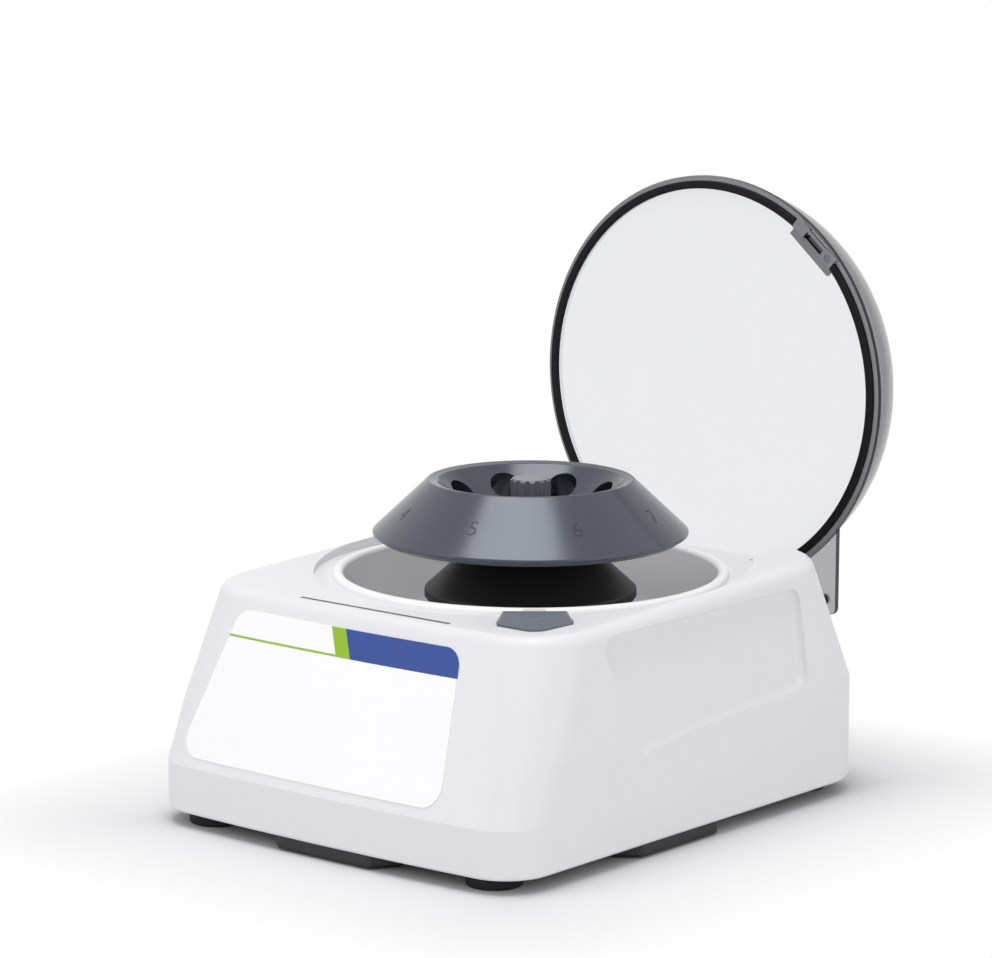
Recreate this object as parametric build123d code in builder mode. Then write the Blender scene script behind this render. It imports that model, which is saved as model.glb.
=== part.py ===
# Bench mini centrifuge with a clear hinged lid, in millimetres.
# It is built round the rotor's axis, with the floor at z = 0, +Z up and the front panel facing -Y.
# The lid is built shut and then swung open, which is the pose in which the parts are written.
# Each part is moved along Y as it is written, so the files' origin is under the middle of the depth.
import math
import os

from build123d import *

os.makedirs("parts", exist_ok=True)

# Casing
body_half_width = 83.6
body_front_y = -111.7
body_rear_y = 94.6
body_bottom_z = 5.0
front_knee_z = 22.0
front_slope = 0.37
rear_slope = 0.42
side_slope = 0.085
front_bow = 3.0
front_corner_radius_low = 18.0
front_corner_radius_high = 25.0
rear_corner_radius = 24.0
wall = 2.6
deck_height = 85.3
waist_z = deck_height - 43.3
deck_slope = 0.036
deck_edge_radius = 4.5
skirt_edge_radius = 1.5

# Fits
running_clearance = 0.05
slide_clearance = 0.3
seat_clearance = 0.6
swing_relief = 3.0
lid_gap = 0.3
rim_to_seal_gap = 1.3
rotor_to_cover_gap = 1.1

# Rotor chamber: the bowl sets the lid's, the latch's and the button's places
bowl_rim_radius = 66.5
bowl_rim_width = 3.9
bowl_rim_height = 2.3
bowl_wall = 2.0
bowl_depth = 24.2
pedestal_radius = 34.5
pedestal_wall = 2.5
pedestal_drop = 6.4
cover_radius = 37.7
cover_height = 16.2
cover_wall = 2.0
cover_bore = 5.5

# Lid
rim_drop = 3.3
seal_width = 2.9
seal_height = 1.6
flange_thickness = 1.8
dome_margin = 0.4
dome_wall = 2.0
dome_shoulder_radius = 42.0
dome_shoulder_turn = 84.0
flange_lip = 1.4
flap_half_width = 59.0
flap_thickness = 2.2
flap_overhang = 1.7
hinge_y = 79.0
hinge_drop = 22.4
open_angle = 90.5

# Rotor
rotor_radius = 56.0
rotor_height = 21.3
rotor_edge_height = 2.7
rotor_crest_radius = 36.4
rotor_floor_radius = 20.0
rotor_floor_thickness = 7.4
well_count = 8
well_radius = 5.6
well_pitch_radius = 26.6
well_first_azimuth = 14.6

# Release button and latch, which lie on one line out from the rotor's axis
latch_azimuth = -49.4
button_travel = 2.0
hook_travel = 1.6

# Sizes worked out from the ones above
lid_rim_z = deck_height - rim_drop
seat_z = lid_rim_z - lid_gap
cavity_top_z = seat_z - wall
flange_z = lid_rim_z + seal_height
seal_inner_radius = bowl_rim_radius + bowl_rim_width + rim_to_seal_gap
seal_outer_radius = seal_inner_radius + seal_width
dome_radius = seal_outer_radius + dome_margin
flange_radius = dome_radius + flange_lip
seat_radius = flange_radius + seat_clearance
flap_reach = hinge_y + flap_overhang
hinge_z = lid_rim_z - hinge_drop
bowl_inner_radius = bowl_rim_radius - 0.5
bowl_outer_radius = bowl_inner_radius + bowl_wall
bowl_floor_z = seat_z - bowl_depth
pedestal_top_z = seat_z - pedestal_drop
cover_top_z = pedestal_top_z + cover_height
hub_bottom_z = cover_top_z + rotor_to_cover_gap
hub_flange_thickness = 2.6
rotor_foot_z = hub_bottom_z + hub_flange_thickness
rotor_widest_z = rotor_foot_z + rotor_edge_height
rotor_crest_z = rotor_foot_z + rotor_height
rotor_floor_z = rotor_foot_z + rotor_floor_thickness
form_top_z = deck_height + 12.0
open_lid_rear_y = hinge_y + deck_height + 40.5 - hinge_z + 0.55
written_shift_y = -(body_front_y + open_lid_rear_y) / 2
deck_plane = Plane(origin=(0, 0, deck_height), x_dir=(1, 0, 0), z_dir=(0, -deck_slope, 1))
hinge_axis = Axis((0, hinge_y, hinge_z), (1, 0, 0))


def save(piece, name):
    """Labels a finished piece and writes it under its own name, in the files' frame."""
    moved = Pos(0, written_shift_y, 0) * piece
    moved.label = name
    export_step(moved, f"parts/{name}.step")


def front_at(height):
    """The front face's middle, as a place along Y, at a height."""
    return body_front_y + front_slope * max(0.0, height - front_knee_z)


def rear_at(height):
    """The rear face's middle, as a place along Y, at a height."""
    return body_rear_y - rear_slope * max(0.0, height - waist_z)


def half_width_at(height):
    """Half of the casing's width at a height."""
    return body_half_width - side_slope * max(0.0, height - waist_z)


def front_corner_radius_at(height):
    """The front corners' radius at a height, which grows from the front's knee upward."""
    rise = max(0.0, height - front_knee_z) / (form_top_z - front_knee_z)
    return front_corner_radius_low + (front_corner_radius_high - front_corner_radius_low) * rise


def outline(inset, height):
    """The casing's plan at a height, drawn in by inset: a bowed front and round corners."""
    half_width = half_width_at(height) - inset
    front = front_at(height) + inset
    rear = rear_at(height) - inset
    with BuildSketch(Plane.XY.offset(height)) as plan:
        with BuildLine():
            bow = ThreePointArc((-half_width, front + front_bow), (0, front), (half_width, front + front_bow))
            Polyline(bow @ 1, (half_width, rear), (-half_width, rear), bow @ 0)
        make_face()
        fillet(plan.vertices().sort_by(Axis.Y)[:2], radius=front_corner_radius_at(height) - inset)
        fillet(plan.vertices().sort_by(Axis.Y)[-2:], radius=rear_corner_radius - inset)
    return plan.sketch


def body_form(inset, low, high):
    """The casing's solid form between two heights, drawn in by inset."""
    with BuildPart() as form:
        loft([outline(inset, height) for height in (low, front_knee_z, waist_z, high)], ruled=True)
    return form.part


def on_latch_line(height):
    """A level plane whose X runs outward along the latch's line."""
    azimuth = math.radians(latch_azimuth)
    return Plane(origin=(0, 0, height), x_dir=(math.cos(azimuth), math.sin(azimuth), 0), z_dir=(0, 0, 1))


def beside_latch_line():
    """An upright plane along the latch's line: X runs outward and Y runs up."""
    azimuth = math.radians(latch_azimuth)
    outward = (math.cos(azimuth), math.sin(azimuth), 0)
    return Plane(origin=(0, 0, 0), x_dir=outward, z_dir=(math.sin(azimuth), -math.cos(azimuth), 0))


def polar(radius, azimuth, height=0.0):
    """A point given by its distance and direction from the rotor's axis."""
    turn = math.radians(azimuth)
    return (radius * math.cos(turn), radius * math.sin(turn), height)


def swung_open(piece):
    """A lid piece turned from its shut place to the open one."""
    return piece.rotate(hinge_axis, -open_angle)


# Side grips: shallow scoops in the sloped sides, with a ledge along their lower edge
grip_depth = 3.3
grip_top_z = deck_height - 5.8
grip_corner_radius = 5.0
grip_floor_radius = 2.4


def grips(grow):
    """The cutters of both grips, with their edges and floor moved out by grow."""
    floor_x = body_half_width - grip_depth - grow
    side = Plane(origin=(floor_x, 0, waist_z), x_dir=(0, 1, 0), z_dir=(1, 0, side_slope))
    corners = [(-61, grip_top_z), (51, grip_top_z), (54, 43), (-8, 40), (-42, 36)]
    with BuildPart() as cutter:
        with BuildSketch(side) as face:
            with BuildLine():
                Polyline([(y, z - waist_z) for y, z in corners], close=True)
            make_face()
            fillet(face.vertices(), radius=grip_corner_radius)
            if grow > 0:
                offset(amount=grow)
        extrude(amount=4 * grip_depth + grow)
        fillet(cutter.faces().sort_by(Axis(side.origin, side.z_dir))[0].edges(), radius=grip_floor_radius)
        mirror(about=Plane.YZ)
    return cutter.part


# Hinge pockets in the rear edge, where the lid's arms turn on their pins
pin_radius = 2.0
arm_centre_x = 50.0
arm_width = 10.0
arm_side_gap = 1.4
arm_boss_radius = 5.0
pocket_half_width = arm_width / 2 + arm_side_gap
pocket_front_y = hinge_y - arm_boss_radius - 3.6
pocket_floor_z = hinge_z - arm_boss_radius - 1.6
pocket_wall = 3.0

# Release button: a home-plate outline with a rounded tip, on the latch's line
button_back = seat_radius + 6.0
button_shoulder = button_back + 7.5
button_tip = button_shoulder + 11.0
button_half_width = 12.6
button_tip_radius = 6.0
button_corner_radius = 1.6
button_proud = 3.7
button_skirt_z = cavity_top_z - 3.1
button_wall = 1.6
deck_at_button = deck_height + deck_slope * polar(button_shoulder, latch_azimuth)[1]
button_top_z = deck_at_button + button_proud
collar_wall = 1.8
collar_floor_top_z = button_skirt_z - button_travel - 0.4
collar_floor_z = collar_floor_top_z - 2.0

# Latch hook, a slide under the deck with a post up through the lid's seat
hook_inner = seal_inner_radius + 0.9
hook_post = 1.4
hook_nose = 0.8
hook_nose_z = lid_rim_z + 1.5
hook_top_z = hook_nose_z + 1.1
hook_half_width = 4.0
hook_floor_z = cavity_top_z - 12.8
hook_arm_height = 3.3
hook_end = button_shoulder + 3.4
ramp_foot_z = hook_floor_z + 1.2
ramp_top_z = ramp_foot_z + 3.0
ramp_run = hook_travel / button_travel
ramp_inner = hook_end - ramp_run * (ramp_top_z - ramp_foot_z)
rib_inner = hook_inner + 3.9
rib_outer = rib_inner + 5.0
rib_thickness = 3.0
rib_gap = hook_half_width + slide_clearance
stem_half_width = 2.2
stem_outer = hook_end + 1.3
stem_inner = hook_end - 3.3
stem_gap = 0.3


def button_plan(grow):
    """The button's outline, moved out by grow, in the latch line's own plane."""
    with BuildSketch() as plan:
        with BuildLine():
            Polyline(
                (button_back, -button_half_width),
                (button_shoulder, -button_half_width),
                (button_tip, 0),
                (button_shoulder, button_half_width),
                (button_back, button_half_width),
                close=True,
            )
        make_face()
        fillet(plan.vertices().sort_by(Axis.X)[-1], radius=button_tip_radius)
        fillet(plan.vertices().sort_by(Axis.X)[:2], radius=button_corner_radius)
        if grow != 0:
            offset(amount=grow)
    return plan.sketch


# Screw bosses under the deck for the bowl, and posts for the base screws
lug_azimuths = (70, 110, 250, 290)
lug_circle_radius = bowl_outer_radius + 8.5
lug_radius = 4.0
lug_top_z = cavity_top_z - 5.1
lug_thickness = 4.0
bowl_screw_radius = 1.5
post_radius = 4.5
post_top_z = 46.0
post_margin = 9.6
post_places = [(side * (body_half_width - post_margin), y) for side in (-1, 1) for y in (-62.0, 62.0)]
base_screw_radius = 1.6
tray_thickness = 3.0
tray_top_z = body_bottom_z + tray_thickness

# Rear wall fittings
switch_x = -32.0
inlet_x = 30.0
rear_fitting_z = 26.0
switch_cutout = (19.0, 13.0)
inlet_hole_radius = 5.6
rear_wall_y = body_rear_y


def inner_posts():
    """What stands inside the casing: pockets, collar, ribs, bosses and posts."""
    with BuildPart() as inner:
        for side in (-1, 1):
            with BuildSketch(Plane.XY.offset(pocket_floor_z - pocket_wall)):
                with Locations((side * arm_centre_x, pocket_front_y - pocket_wall)):
                    Rectangle(2 * (pocket_half_width + pocket_wall), 60, align=(Align.CENTER, Align.MIN))
            extrude(amount=cavity_top_z + 1 - pocket_floor_z + pocket_wall)
        with BuildSketch(on_latch_line(collar_floor_z)):
            add(button_plan(slide_clearance + collar_wall))
        extrude(amount=cavity_top_z + 1 - collar_floor_z)
        with BuildSketch(on_latch_line(hook_floor_z - slide_clearance)):
            for side in (-1, 1):
                with Locations(((rib_inner + rib_outer) / 2, side * (rib_gap + rib_thickness / 2))):
                    Rectangle(rib_outer - rib_inner, rib_thickness)
        extrude(amount=cavity_top_z + 1 - hook_floor_z + slide_clearance)
        with BuildSketch(Plane.XY.offset(lug_top_z)):
            with Locations([polar(lug_circle_radius, azimuth)[:2] for azimuth in lug_azimuths]):
                Circle(lug_radius)
        extrude(amount=cavity_top_z + 1 - lug_top_z)
        with BuildSketch(Plane.XY.offset(tray_top_z)):
            with Locations(post_places):
                Circle(post_radius)
            for x, y in post_places:
                with Locations((x + math.copysign(6, x), y)):
                    Rectangle(12, 2.4)
        extrude(amount=post_top_z - tray_top_z)
    return inner.part


# Upper casing
with BuildPart() as housing_top:
    add(body_form(0, body_bottom_z, form_top_z))
    split(bisect_by=deck_plane, keep=Keep.BOTTOM)
    fillet(housing_top.faces().sort_by(Axis.Z)[-1].edges(), radius=deck_edge_radius)
    fillet(housing_top.faces().sort_by(Axis.Z)[0].edges(), radius=skirt_edge_radius)
    add(grips(0), mode=Mode.SUBTRACT)
    add(body_form(wall, body_bottom_z - 1, cavity_top_z) - grips(wall) - inner_posts(), mode=Mode.SUBTRACT)
    with BuildSketch(Plane.XY.offset(seat_z)):
        Circle(seat_radius)
        with Locations((0, swing_relief)):
            Circle(seat_radius)
        with Locations((0, flap_reach)):
            Rectangle(2 * (flap_half_width + seat_clearance), 2 * flap_reach - 60)
    extrude(amount=form_top_z, mode=Mode.SUBTRACT)
    with BuildSketch(Plane.XY.offset(cavity_top_z - 1)):
        Circle(bowl_outer_radius + slide_clearance)
    extrude(amount=wall + 2, mode=Mode.SUBTRACT)
    with BuildSketch(Plane.XY.offset(pocket_floor_z)):
        for side in (-1, 1):
            with Locations((side * arm_centre_x, pocket_front_y)):
                Rectangle(2 * pocket_half_width, 60, align=(Align.CENTER, Align.MIN))
    extrude(amount=form_top_z, mode=Mode.SUBTRACT)
    with BuildSketch(Plane.YZ):
        with Locations((hinge_y, hinge_z)):
            Circle(pin_radius)
    extrude(amount=arm_centre_x + pocket_half_width + pocket_wall, both=True, mode=Mode.SUBTRACT)
    with BuildSketch(on_latch_line(collar_floor_top_z)):
        add(button_plan(slide_clearance))
    extrude(amount=form_top_z, mode=Mode.SUBTRACT)
    with BuildSketch(on_latch_line(collar_floor_z - 1)):
        with Locations(((stem_inner + stem_outer) / 2, 0)):
            Rectangle(stem_outer - stem_inner + 4 * slide_clearance, 2 * (stem_half_width + slide_clearance))
    extrude(amount=4, mode=Mode.SUBTRACT)
    with BuildSketch(on_latch_line(cavity_top_z - 1)):
        slot_inner = hook_inner - hook_travel - slide_clearance
        slot_outer = hook_inner + hook_post + hook_nose + 0.4
        with Locations(((slot_inner + slot_outer) / 2, 0)):
            Rectangle(slot_outer - slot_inner, 2 * (hook_half_width + seat_clearance))
    extrude(amount=wall + 2, mode=Mode.SUBTRACT)
    with BuildSketch(deck_plane):
        with Locations((0, -83.5)):
            SlotOverall(68, 0.9)
    extrude(amount=-0.8, mode=Mode.SUBTRACT)
    with BuildSketch(Plane.XZ.offset(-rear_wall_y - 1)):
        with Locations((switch_x, rear_fitting_z)):
            Rectangle(*switch_cutout)
        with Locations((inlet_x, rear_fitting_z)):
            Circle(inlet_hole_radius)
    extrude(amount=wall + 8, mode=Mode.SUBTRACT)
    with BuildSketch(Plane.XY.offset(lug_top_z)):
        with Locations([polar(lug_circle_radius, azimuth)[:2] for azimuth in lug_azimuths]):
            Circle(bowl_screw_radius)
    extrude(amount=6.2, mode=Mode.SUBTRACT)
    with BuildSketch(Plane.XY.offset(tray_top_z)):
        with Locations(post_places):
            Circle(base_screw_radius)
    extrude(amount=12, mode=Mode.SUBTRACT)
save(housing_top.part, "housing_top")

# Front panel skin, which follows the bowed and sloped front
panel_skin = 0.3
panel_bottom_z = front_knee_z + 3.6
panel_top_z = deck_height - 8.9
panel_corner_radius = 7.0
with BuildPart() as front_panel:
    with BuildSketch(Plane.XZ.offset(-body_front_y / 2)) as panel_face:
        with BuildLine():
            Polyline(
                (14.1 - body_half_width, panel_bottom_z),
                (body_half_width - 32.4, panel_bottom_z),
                (body_half_width - 38.4, panel_top_z),
                (27.8 - body_half_width, panel_top_z),
                close=True,
            )
        make_face()
        fillet(panel_face.vertices(), radius=panel_corner_radius)
    extrude(amount=-body_front_y)
    add(body_form(-panel_skin, body_bottom_z, form_top_z), mode=Mode.INTERSECT)
    add(body_form(0, body_bottom_z - 1, form_top_z + 1), mode=Mode.SUBTRACT)
save(front_panel.part, "front_panel")

# Bottom tray with its low lobes
tray_inset = wall + slide_clearance
lobe_bottom_z = 0.6
lobe_margin = 0.8
lobe_outer_length = 42.0
lobe_inner_length = 60.0
lobe_width = 12.0
side_lobe_y = -19.0
foot_radius = 9.7
foot_x = body_half_width - 20.1
foot_front_y = body_front_y + 16.2
foot_rear_y = body_rear_y - 19.1
foot_places = {
    "foot_front_left": (-foot_x, foot_front_y),
    "foot_front_right": (foot_x, foot_front_y),
    "foot_rear_left": (-foot_x, foot_rear_y),
    "foot_rear_right": (foot_x, foot_rear_y),
}
foot_screw_radius = 1.5
board_centre = (-12.0, body_front_y + 39.7)
board_size = (84.0, 44.0)
board_thickness = 1.6
standoff_radius = 3.0
standoff_top_z = 15.0
board_screw_radius = 1.2
vent_count = 7
vent_pitch = 7.0


def lobe(x, y, outward):
    """A lobe's plan: its outer edge passes through (x, y) and faces along outward degrees."""
    with BuildSketch(Plane(origin=(x, y, 0), x_dir=polar(1, outward), z_dir=(0, 0, 1))) as plan:
        with BuildLine():
            Polyline(
                (0, -lobe_outer_length / 2),
                (0, lobe_outer_length / 2),
                (-lobe_width, lobe_inner_length / 2),
                (-lobe_width, -lobe_inner_length / 2),
                close=True,
            )
        make_face()
        fillet(plan.vertices(), radius=2.5)
    return plan.sketch


board_corners = [
    (board_centre[0] + sx * (board_size[0] / 2 - 4), board_centre[1] + sy * (board_size[1] / 2 - 4))
    for sx in (-1, 1)
    for sy in (-1, 1)
]
with BuildPart() as base_tray:
    add(outline(tray_inset, body_bottom_z))
    extrude(amount=tray_thickness)
    with BuildSketch(Plane.XY.offset(lobe_bottom_z)):
        add(lobe(0, body_front_y + lobe_margin, -90))
        add(lobe(0, body_rear_y - lobe_margin, 90))
        add(lobe(body_half_width - lobe_margin, side_lobe_y, 0))
        add(lobe(lobe_margin - body_half_width, side_lobe_y, 180))
    extrude(amount=body_bottom_z - lobe_bottom_z)
    fillet(base_tray.faces().sort_by(Axis.Z)[0:4].edges(), radius=1.2)
    with BuildSketch(Plane.XY.offset(tray_top_z)):
        with Locations(board_corners):
            Circle(standoff_radius)
    extrude(amount=standoff_top_z - tray_top_z)
    with BuildSketch(Plane.XY.offset(body_bottom_z - 1)):
        with GridLocations(vent_pitch, 40, vent_count, 2):
            SlotOverall(26, 3, rotation=90)
    extrude(amount=tray_thickness + 2, mode=Mode.SUBTRACT)
    with BuildSketch(Plane.XY.offset(body_bottom_z - 1)):
        with Locations(post_places):
            Circle(base_screw_radius + 0.2)
        with Locations(list(foot_places.values())):
            Circle(foot_screw_radius)
    extrude(amount=tray_thickness + 2, mode=Mode.SUBTRACT)
    with BuildSketch(Plane.XY.offset(body_bottom_z)):
        with Locations(post_places):
            Circle(3.3)
    extrude(amount=1.8, mode=Mode.SUBTRACT)
    with BuildSketch(Plane.XY.offset(standoff_top_z - 6)):
        with Locations(board_corners):
            Circle(board_screw_radius)
    extrude(amount=7, mode=Mode.SUBTRACT)
save(base_tray.part, "base_tray")

# Feet, each a rubber disc held by a screw from below
foot_recess_depth = 2.6
for foot_name, foot_place in foot_places.items():
    with BuildPart() as foot:
        with BuildSketch():
            with Locations(foot_place):
                Circle(foot_radius)
        extrude(amount=body_bottom_z, taper=-3)
        fillet(foot.edges().group_by(Axis.Z)[0], radius=0.8)
        with BuildSketch():
            with Locations(foot_place):
                Circle(3.8)
        extrude(amount=foot_recess_depth, mode=Mode.SUBTRACT)
        with BuildSketch():
            with Locations(foot_place):
                Circle(foot_screw_radius + 0.2)
        extrude(amount=body_bottom_z, mode=Mode.SUBTRACT)
    save(foot.part, foot_name)


def screws(places, head_radius, head_height, shank_radius, shank_length, up=True):
    """Pan head screws whose heads sit with their seat at each place; the shank points up or down."""
    direction = 1 if up else -1
    with BuildPart() as group:
        for x, y, z in places:
            with BuildSketch(Plane.XY.offset(z)):
                with Locations((x, y)):
                    Circle(shank_radius)
            extrude(amount=direction * shank_length)
            with BuildSketch(Plane.XY.offset(z)):
                with Locations((x, y)):
                    Circle(head_radius)
            extrude(amount=-direction * head_height)
            with BuildSketch(Plane.XY.offset(z - direction * head_height)):
                with Locations((x, y)):
                    Rectangle(head_radius * 1.3, head_radius * 0.3)
                    Rectangle(head_radius * 0.3, head_radius * 1.3)
            extrude(amount=direction * head_height * 0.6, mode=Mode.SUBTRACT)
    return group.part


save(screws([(x, y, foot_recess_depth) for x, y in foot_places.values()], 3.4, 1.4, foot_screw_radius, 5.2),
     "foot_screws")
save(screws([(x, y, body_bottom_z + 1.8) for x, y in post_places], 3.0, 1.6, base_screw_radius, 11.0),
     "base_screws")

# Rotor chamber: a turned bowl with a raised rim, a hollow pedestal for the motor and four lugs
with BuildPart() as rotor_bowl:
    with BuildSketch(Plane.XZ) as bowl_profile:
        rim_outer = bowl_rim_radius + bowl_rim_width
        rim_top = seat_z + bowl_rim_height
        with BuildLine():
            Polyline(
                (bowl_rim_radius, rim_top),
                (rim_outer, rim_top),
                (rim_outer, seat_z),
                (bowl_outer_radius, seat_z),
                (bowl_outer_radius, bowl_floor_z - pedestal_wall),
                (pedestal_radius - pedestal_wall, bowl_floor_z - pedestal_wall),
                (pedestal_radius - pedestal_wall, pedestal_top_z - pedestal_wall),
                (7.0, pedestal_top_z - pedestal_wall),
                (7.0, pedestal_top_z),
                (pedestal_radius, pedestal_top_z),
                (pedestal_radius, bowl_floor_z),
                (bowl_inner_radius - 1.5, bowl_floor_z),
                close=True,
            )
        make_face()
        rim_corners = bowl_profile.vertices().filter_by(lambda v: v.Y > seat_z + 1)
        fillet(rim_corners, radius=1.7)
        floor_corners = bowl_profile.vertices().filter_by(
            lambda v: abs(v.Y - bowl_floor_z) < 0.1 and v.X > pedestal_radius - 1)
        fillet(floor_corners, radius=6.0)
        under_corner = bowl_profile.vertices().filter_by(
            lambda v: v.X > bowl_outer_radius - 0.1 and v.Y < bowl_floor_z)
        fillet(under_corner, radius=8.0)
    revolve(axis=Axis.Z)
    with BuildSketch(Plane.XY.offset(lug_top_z)):
        for azimuth in lug_azimuths:
            with Locations(polar(lug_circle_radius, azimuth)[:2]):
                Circle(lug_radius)
            with Locations(Location(polar((lug_circle_radius + bowl_outer_radius) / 2 - 0.5, azimuth), azimuth)):
                Rectangle(lug_circle_radius - bowl_outer_radius + 1, 2 * lug_radius)
    extrude(amount=-lug_thickness)
    with BuildSketch(Plane.XY.offset(lug_top_z)):
        with Locations([polar(lug_circle_radius, azimuth)[:2] for azimuth in lug_azimuths]):
            Circle(bowl_screw_radius + 0.2)
    extrude(amount=-lug_thickness, mode=Mode.SUBTRACT)
    with BuildSketch(Plane.XY.offset(pedestal_top_z)):
        with PolarLocations(12.0, 3):
            Circle(1.7)
    extrude(amount=-pedestal_wall, mode=Mode.SUBTRACT)
save(rotor_bowl.part, "rotor_bowl")

lug_seats = [polar(lug_circle_radius, azimuth, lug_top_z - lug_thickness) for azimuth in lug_azimuths]
save(screws(lug_seats, 3.0, 1.8, bowl_screw_radius, 10.0), "bowl_screws")

# Black cone over the motor's top, resting on the pedestal
with BuildPart() as motor_cover:
    with BuildSketch(Plane.XZ) as cover_profile:
        with BuildLine():
            Polyline(
                (pedestal_radius + slide_clearance, pedestal_top_z - 1.8),
                (cover_radius - 0.8, pedestal_top_z - 1.8),
                (cover_radius, pedestal_top_z - 0.6),
                (cover_radius, pedestal_top_z + 1.8),
                (22.0, cover_top_z),
                (cover_bore, cover_top_z),
                (cover_bore, cover_top_z - cover_wall),
                (21.0, cover_top_z - cover_wall),
                (pedestal_radius - 1.9, pedestal_top_z + 2.4),
                (pedestal_radius - 1.9, pedestal_top_z),
                (pedestal_radius + slide_clearance, pedestal_top_z),
                close=True,
            )
        make_face()
        fillet(cover_profile.vertices().filter_by(
            lambda v: v.X > cover_radius - 0.1 and v.Y > pedestal_top_z), radius=1.2)
        fillet(cover_profile.vertices().filter_by(
            lambda v: abs(v.X - 22.0) < 0.1), radius=2.0)
    revolve(axis=Axis.Z)
save(motor_cover.part, "motor_cover")

# Motor, hung under the pedestal's roof on three rubber dampers
can_radius = 18.0
can_wall = 1.5
can_top_z = pedestal_top_z - 5.3
can_bottom_z = can_top_z - 50.0
can_face = 3.0
shaft_radius = 2.0
bearing_radius = 5.0
bearing_width = 4.0
motor_screw_circle = 12.0
damper_height = pedestal_top_z - pedestal_wall - can_top_z
with BuildPart() as motor_can:
    with BuildSketch(Plane.XY.offset(can_bottom_z)):
        Circle(can_radius)
    extrude(amount=can_top_z - can_bottom_z)
    fillet(motor_can.edges().group_by(Axis.Z)[-1], radius=1.2)
    with BuildSketch(Plane.XY.offset(can_top_z)):
        Circle(6.4)
    extrude(amount=2.2)
    with BuildSketch(Plane.XY.offset(can_bottom_z)):
        Circle(can_radius - can_wall)
    extrude(amount=can_top_z - can_face - can_bottom_z, mode=Mode.SUBTRACT)
    with BuildSketch(Plane.XY.offset(can_top_z - can_face)):
        Circle(bearing_radius)
    extrude(amount=bearing_width, mode=Mode.SUBTRACT)
    with BuildSketch(Plane.XY.offset(can_top_z - can_face)):
        Circle(shaft_radius + 0.6)
        with PolarLocations(motor_screw_circle, 3):
            Circle(1.5)
    extrude(amount=6, mode=Mode.SUBTRACT)
save(motor_can.part, "motor_can")

with BuildPart() as motor_end_cap:
    with BuildSketch(Plane.XY.offset(can_bottom_z - 3)):
        Circle(can_radius)
    extrude(amount=3)
    with BuildSketch(Plane.XY.offset(can_bottom_z)):
        Circle(can_radius - can_wall)
        Circle(can_radius - can_wall - 2, mode=Mode.SUBTRACT)
    extrude(amount=4)
    with BuildSketch(Plane.XY.offset(can_bottom_z - 4)):
        Circle(bearing_radius + 1.6)
    extrude(amount=6)
    with BuildSketch(Plane.XY.offset(can_bottom_z - 2)):
        Circle(bearing_radius)
    extrude(amount=bearing_width, mode=Mode.SUBTRACT)
    with BuildSketch(Plane.XY.offset(can_bottom_z - 3)):
        with Locations((-12, 0), (12, 0)):
            Rectangle(1, 5)
    extrude(amount=-5)
save(motor_end_cap.part, "motor_end_cap")

with BuildPart() as motor_magnets:
    with BuildSketch(Plane.XY.offset(can_bottom_z + 10)):
        Circle(can_radius - can_wall)
        Circle(can_radius - can_wall - 2.6, mode=Mode.SUBTRACT)
        Rectangle(14, 2 * can_radius, mode=Mode.SUBTRACT)
    extrude(amount=32)
save(motor_magnets.part, "motor_magnets")

armature_radius = 13.2
with BuildPart() as motor_armature:
    with BuildSketch(Plane.XY.offset(can_bottom_z + 12)):
        Circle(armature_radius)
        with PolarLocations(armature_radius, 5):
            Rectangle(5, 2, mode=Mode.SUBTRACT)
        with PolarLocations(armature_radius - 4.2, 5):
            Circle(2.6, mode=Mode.SUBTRACT)
        Circle(shaft_radius, mode=Mode.SUBTRACT)
    extrude(amount=28)
    with BuildSketch(Plane.XY.offset(can_bottom_z + 5)):
        Circle(4)
        Circle(shaft_radius, mode=Mode.SUBTRACT)
    extrude(amount=7)
save(motor_armature.part, "motor_armature")

shaft_bottom_z = can_bottom_z - 1.5
shaft_top_z = rotor_floor_z + 1.4
with BuildPart() as motor_shaft:
    with BuildSketch(Plane.XY.offset(shaft_bottom_z)):
        Circle(shaft_radius)
    extrude(amount=shaft_top_z - shaft_bottom_z)
    chamfer(motor_shaft.edges().group_by(Axis.Z)[-1], length=0.4)
save(motor_shaft.part, "motor_shaft")

with BuildPart() as motor_bearings:
    for bearing_z in (can_bottom_z - 2, can_top_z - can_face):
        with BuildSketch(Plane.XY.offset(bearing_z)):
            Circle(bearing_radius)
            Circle(shaft_radius + running_clearance, mode=Mode.SUBTRACT)
        extrude(amount=bearing_width)
save(motor_bearings.part, "motor_bearings")

with BuildPart() as motor_dampers:
    with BuildSketch(Plane.XY.offset(can_top_z)):
        with PolarLocations(motor_screw_circle, 3):
            Circle(3.5)
            Circle(1.7, mode=Mode.SUBTRACT)
    extrude(amount=damper_height)
save(motor_dampers.part, "motor_dampers")

motor_screw_places = [polar(motor_screw_circle, azimuth, pedestal_top_z) for azimuth in (0, 120, 240)]
save(screws(motor_screw_places, 3.0, 1.8, 1.5, pedestal_top_z - can_top_z + can_face, up=False), "motor_screws")

# Rotor hub: a metal insert with a flange under the rotor and a stud for the knob
hub_radius = 8.0
hub_flange_radius = 11.0
hub_top_z = rotor_floor_z + 2.0
stud_radius = 2.5
stud_top_z = rotor_crest_z - 4.5
with BuildPart() as rotor_hub:
    with BuildSketch(Plane.XZ):
        with BuildLine():
            Polyline(
                (0, shaft_top_z + 0.6),
                (shaft_radius, shaft_top_z + 0.6),
                (shaft_radius, hub_bottom_z),
                (hub_flange_radius, hub_bottom_z),
                (hub_flange_radius, rotor_foot_z),
                (hub_radius, rotor_foot_z),
                (hub_radius, hub_top_z),
                (stud_radius, hub_top_z),
                (stud_radius, stud_top_z),
                (0, stud_top_z),
                close=True,
            )
        make_face()
    revolve(axis=Axis.Z)
save(rotor_hub.part, "rotor_hub")

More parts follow.
